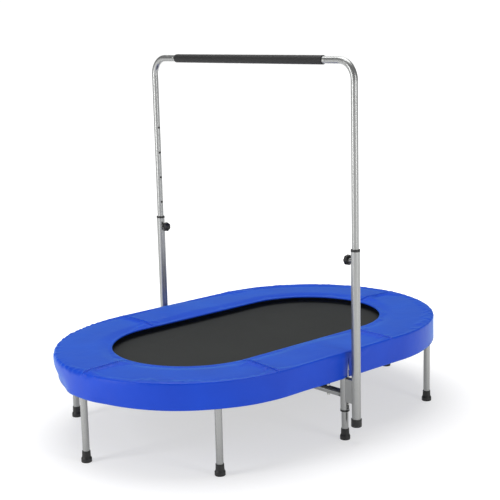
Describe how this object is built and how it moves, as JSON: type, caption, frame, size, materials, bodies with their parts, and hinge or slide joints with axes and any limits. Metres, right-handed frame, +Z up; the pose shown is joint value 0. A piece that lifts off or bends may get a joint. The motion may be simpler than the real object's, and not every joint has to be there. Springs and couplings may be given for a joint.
{
  "type": "mini trampoline",
  "caption": "Oval folding rebounder for two: sprung mat in a padded steel frame on rubber-footed legs, with a height-adjustable foam handlebar across the middle",
  "frame": {"origin": "on the floor, below the middle of the oval", "axes": "+X along the oval, +Y across it to the far side, +Z up"},
  "size_m": [1.422, 0.999, 1.2065],
  "materials": {
    "silver_coat": "silver-grey powder coat, satin",
    "zinc_steel": "zinc-plated steel",
    "black_plastic": "moulded black plastic",
    "rubber": "moulded black rubber",
    "grip_foam": "closed-cell foam",
    "mat_fabric": "woven polypropylene",
    "webbing": "woven polyester webbing",
    "pad_vinyl": "smooth PVC-coated fabric",
    "pad_foam": "open-cell foam"
  },
  "bodies": {
    "stand": {"centre_leg_far": "silver_coat", "centre_leg_near": "silver_coat", "leg_collars": "black_plastic", "crossbar": "silver_coat", "crossbar_stubs": "silver_coat", "crossbar_bolts": "zinc_steel", "crossbar_nuts": "zinc_steel", "hinge_brackets": "silver_coat", "hinge_pins": "zinc_steel", "upright_far": "silver_coat", "upright_near": "silver_coat", "upright_brackets": "silver_coat", "upright_caps": "black_plastic", "upright_collars": "black_plastic", "knob_bosses": "silver_coat"},
    "right_half": {"feet_right": "rubber", "frame_plugs_right": "black_plastic", "frame_tube_right": "silver_coat", "hinge_lugs_right": "silver_coat", "leg_far_right": "silver_coat", "leg_near_right": "silver_coat", "leg_sockets_right": "silver_coat", "leg_tip_right": "silver_coat", "mat_hem_right": "webbing", "mat_right": "mat_fabric", "mat_rings_right": "zinc_steel", "pad_cover_right": "pad_vinyl", "pad_foam_right": "pad_foam", "springs_right": "zinc_steel"},
    "left_half": {"feet_left": "rubber", "frame_plugs_left": "black_plastic", "frame_tube_left": "silver_coat", "hinge_lugs_left": "silver_coat", "leg_far_left": "silver_coat", "leg_near_left": "silver_coat", "leg_sockets_left": "silver_coat", "leg_tip_left": "silver_coat", "mat_hem_left": "webbing", "mat_left": "mat_fabric", "mat_rings_left": "zinc_steel", "pad_cover_left": "pad_vinyl", "pad_foam_left": "pad_foam", "springs_left": "zinc_steel"},
    "handlebar": {"handle_tube_far": "silver_coat", "handle_tube_near": "silver_coat", "cross_tube": "silver_coat", "foam_grip": "grip_foam", "handle_bushes": "black_plastic"},
    "far_knob": {"knob_far": "black_plastic", "knob_stud_far": "zinc_steel"},
    "near_knob": {"knob_near": "black_plastic", "knob_stud_near": "zinc_steel"},
    "far_foot": {"inner_leg_far": "silver_coat", "centre_foot_far": "rubber"},
    "near_foot": {"inner_leg_near": "silver_coat", "centre_foot_near": "rubber"},
    "far_leg_button": {"leg_button_far": "zinc_steel"},
    "near_leg_button": {"leg_button_near": "zinc_steel"},
    "far_bar_button": {"bar_button_far": "zinc_steel"},
    "near_bar_button": {"bar_button_near": "zinc_steel"}
  },
  "joints": [
    {"name": "right_fold", "type": "hinge", "parent": "stand", "child": "right_half", "pos_m": [0.038, 0, 0.283], "axis": [0, -1, 0], "range_deg": [0, 90]},
    {"name": "left_fold", "type": "hinge", "parent": "stand", "child": "left_half", "pos_m": [-0.038, 0, 0.283], "axis": [0, 1, 0], "range_deg": [0, 90]},
    {"name": "handle_slide", "type": "slide", "parent": "stand", "child": "handlebar", "axis": [0, 0, 1], "range_m": [-0.36, 0]},
    {"name": "far_knob_turn", "type": "hinge", "parent": "stand", "child": "far_knob", "pos_m": [0, 0.455, 0.585], "axis": [0, -1, 0], "range_deg": [0, 540]},
    {"name": "near_knob_turn", "type": "hinge", "parent": "stand", "child": "near_knob", "pos_m": [0, -0.455, 0.585], "axis": [0, 1, 0], "range_deg": [0, 540]},
    {"name": "far_foot_slide", "type": "slide", "parent": "stand", "child": "far_foot", "axis": [0, 0, -1], "range_m": [0, 0.014]},
    {"name": "near_foot_slide", "type": "slide", "parent": "stand", "child": "near_foot", "axis": [0, 0, -1], "range_m": [0, 0.014]},
    {"name": "far_leg_button_press", "type": "slide", "parent": "far_foot", "child": "far_leg_button", "axis": [0, -1, 0], "range_m": [0, 0.0038], "stiffness_N_per_m": 800, "springref_m": -0.001},
    {"name": "near_leg_button_press", "type": "slide", "parent": "near_foot", "child": "near_leg_button", "axis": [0, 1, 0], "range_m": [0, 0.0038], "stiffness_N_per_m": 800, "springref_m": -0.001},
    {"name": "far_bar_button_press", "type": "slide", "parent": "handlebar", "child": "far_bar_button", "axis": [1, 0, 0], "range_m": [0, 0.0036], "stiffness_N_per_m": 800, "springref_m": -0.001},
    {"name": "near_bar_button_press", "type": "slide", "parent": "handlebar", "child": "near_bar_button", "axis": [1, 0, 0], "range_m": [0, 0.0036], "stiffness_N_per_m": 800, "springref_m": -0.001}
  ]
}
